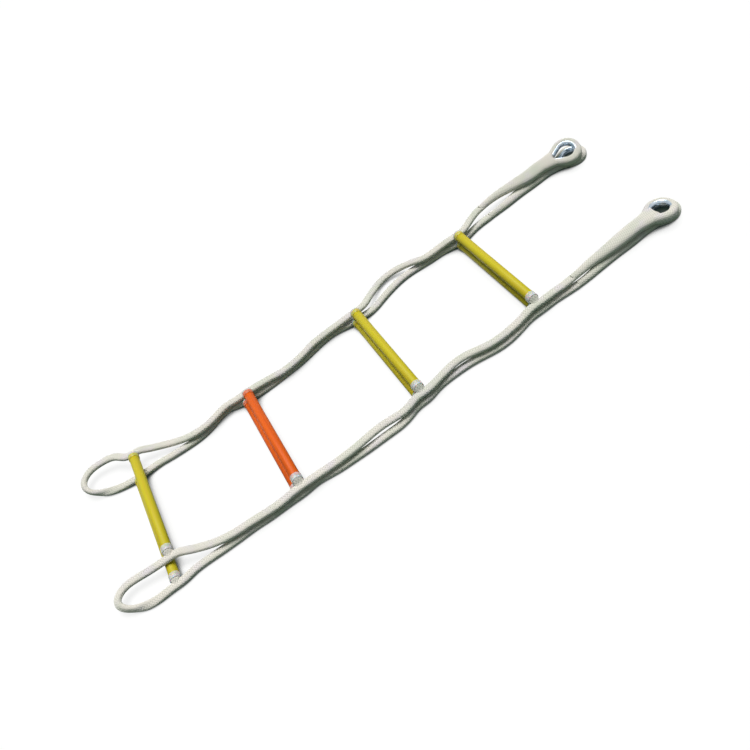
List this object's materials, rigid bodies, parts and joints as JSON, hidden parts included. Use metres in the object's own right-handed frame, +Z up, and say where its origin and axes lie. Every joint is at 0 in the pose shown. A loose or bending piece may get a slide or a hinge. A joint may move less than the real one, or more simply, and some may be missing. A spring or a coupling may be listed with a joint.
{
  "type": "insulating rope ladder",
  "caption": "Insulating rope ladder folded double: glass fibre tube rungs with end collars on two braided side ropes, each end a rope eye on a plated thimble.",
  "frame": {"origin": "centre of the folded ladder's footprint, on the floor", "axes": "+X along the ladder towards the four eyes, +Y along the rungs towards the left side rope, +Z up from the floor"},
  "size_m": [1.4201, 0.4517, 0.0509],
  "materials": {
    "yellow_tube": "satin epoxy glass tube",
    "orange_tube": "satin epoxy glass tube",
    "collar": "milky moulded plastic",
    "rope_braid": "dry braided fibre, slightly fuzzy",
    "zinc_plate": "bright zinc plating with a bluish cast"
  },
  "bodies": {
    "lower_fold": {"rung_tube_5": "yellow_tube", "left_collar_5": "collar", "right_collar_5": "collar", "cross_cord_5": "rope_braid", "left_loop_5": "rope_braid", "right_loop_5": "rope_braid"},
    "upper_fold": {"rung_tube_4": "yellow_tube", "left_collar_4": "collar", "right_collar_4": "collar", "cross_cord_4": "rope_braid", "left_loop_4": "rope_braid", "right_loop_4": "rope_braid"},
    "upper_bay_3": {"left_rope_3_4": "rope_braid", "right_rope_3_4": "rope_braid", "rung_tube_3": "orange_tube", "left_collar_3": "collar", "right_collar_3": "collar", "cross_cord_3": "rope_braid"},
    "upper_bay_2": {"left_rope_2_3": "rope_braid", "right_rope_2_3": "rope_braid", "rung_tube_2": "yellow_tube", "left_collar_2": "collar", "right_collar_2": "collar", "cross_cord_2": "rope_braid"},
    "upper_bay_1": {"left_rope_1_2": "rope_braid", "right_rope_1_2": "rope_braid", "rung_tube_1": "yellow_tube", "left_collar_1": "collar", "right_collar_1": "collar", "cross_cord_1": "rope_braid"},
    "left_eye_1": {"left_eye_leg_1": "rope_braid", "left_eye_rope_1": "rope_braid", "left_thimble_1": "zinc_plate"},
    "right_eye_1": {"right_eye_leg_1": "rope_braid", "right_eye_rope_1": "rope_braid", "right_thimble_1": "zinc_plate"},
    "lower_bay_6": {"left_rope_5_6": "rope_braid", "right_rope_5_6": "rope_braid", "rung_tube_6": "orange_tube", "left_collar_6": "collar", "right_collar_6": "collar", "cross_cord_6": "rope_braid"},
    "lower_bay_7": {"left_rope_6_7": "rope_braid", "right_rope_6_7": "rope_braid", "rung_tube_7": "yellow_tube", "left_collar_7": "collar", "right_collar_7": "collar", "cross_cord_7": "rope_braid"},
    "lower_bay_8": {"left_rope_7_8": "rope_braid", "right_rope_7_8": "rope_braid", "rung_tube_8": "yellow_tube", "left_collar_8": "collar", "right_collar_8": "collar", "cross_cord_8": "rope_braid"},
    "left_eye_8": {"left_eye_leg_8": "rope_braid", "left_eye_rope_8": "rope_braid", "left_thimble_8": "zinc_plate"},
    "right_eye_8": {"right_eye_leg_8": "rope_braid", "right_eye_rope_8": "rope_braid", "right_thimble_8": "zinc_plate"}
  },
  "joints": [
    {"name": "fold", "type": "hinge", "parent": "lower_fold", "child": "upper_fold", "pos_m": [-0.702, 0, 0.02388], "axis": [0, -1, 0], "range_deg": [0, 180]},
    {"name": "bend_at_rung_4", "type": "hinge", "parent": "upper_fold", "child": "upper_bay_3", "pos_m": [-0.568, -0.0026, 0.0359], "axis": [0, -1, 0], "range_deg": [0, 60]},
    {"name": "bend_at_rung_3", "type": "hinge", "parent": "upper_bay_3", "child": "upper_bay_2", "pos_m": [-0.2769, -0.0436, 0.0359], "axis": [0, -1, 0], "range_deg": [0, 60]},
    {"name": "bend_at_rung_2", "type": "hinge", "parent": "upper_bay_2", "child": "upper_bay_1", "pos_m": [0.0247, -0.0236, 0.0359], "axis": [0, -1, 0], "range_deg": [0, 60]},
    {"name": "left_eye_bend_at_rung_1", "type": "hinge", "parent": "upper_bay_1", "child": "left_eye_1", "pos_m": [0.3244, -0.0016, 0.0359], "axis": [0, -1, 0], "range_deg": [0, 100]},
    {"name": "right_eye_bend_at_rung_1", "type": "hinge", "parent": "upper_bay_1", "child": "right_eye_1", "pos_m": [0.3244, -0.0016, 0.0359], "axis": [0, -1, 0], "range_deg": [0, 100]},
    {"name": "bend_at_rung_5", "type": "hinge", "parent": "lower_fold", "child": "lower_bay_6", "pos_m": [-0.5804, -0.0536, 0.00922], "axis": [0, -1, 0], "range_deg": [-60, 0]},
    {"name": "bend_at_rung_6", "type": "hinge", "parent": "lower_bay_6", "child": "lower_bay_7", "pos_m": [-0.2889, -0.0436, 0.00922], "axis": [0, -1, 0], "range_deg": [-60, 0]},
    {"name": "bend_at_rung_7", "type": "hinge", "parent": "lower_bay_7", "child": "lower_bay_8", "pos_m": [0.0174, -0.0266, 0.00922], "axis": [0, -1, 0], "range_deg": [-60, 0]},
    {"name": "left_eye_bend_at_rung_8", "type": "hinge", "parent": "lower_bay_8", "child": "left_eye_8", "pos_m": [0.3226, -0.0036, 0.00922], "axis": [0, -1, 0], "range_deg": [-100, 0]},
    {"name": "right_eye_bend_at_rung_8", "type": "hinge", "parent": "lower_bay_8", "child": "right_eye_8", "pos_m": [0.3226, -0.0036, 0.00922], "axis": [0, -1, 0], "range_deg": [-100, 0]}
  ]
}
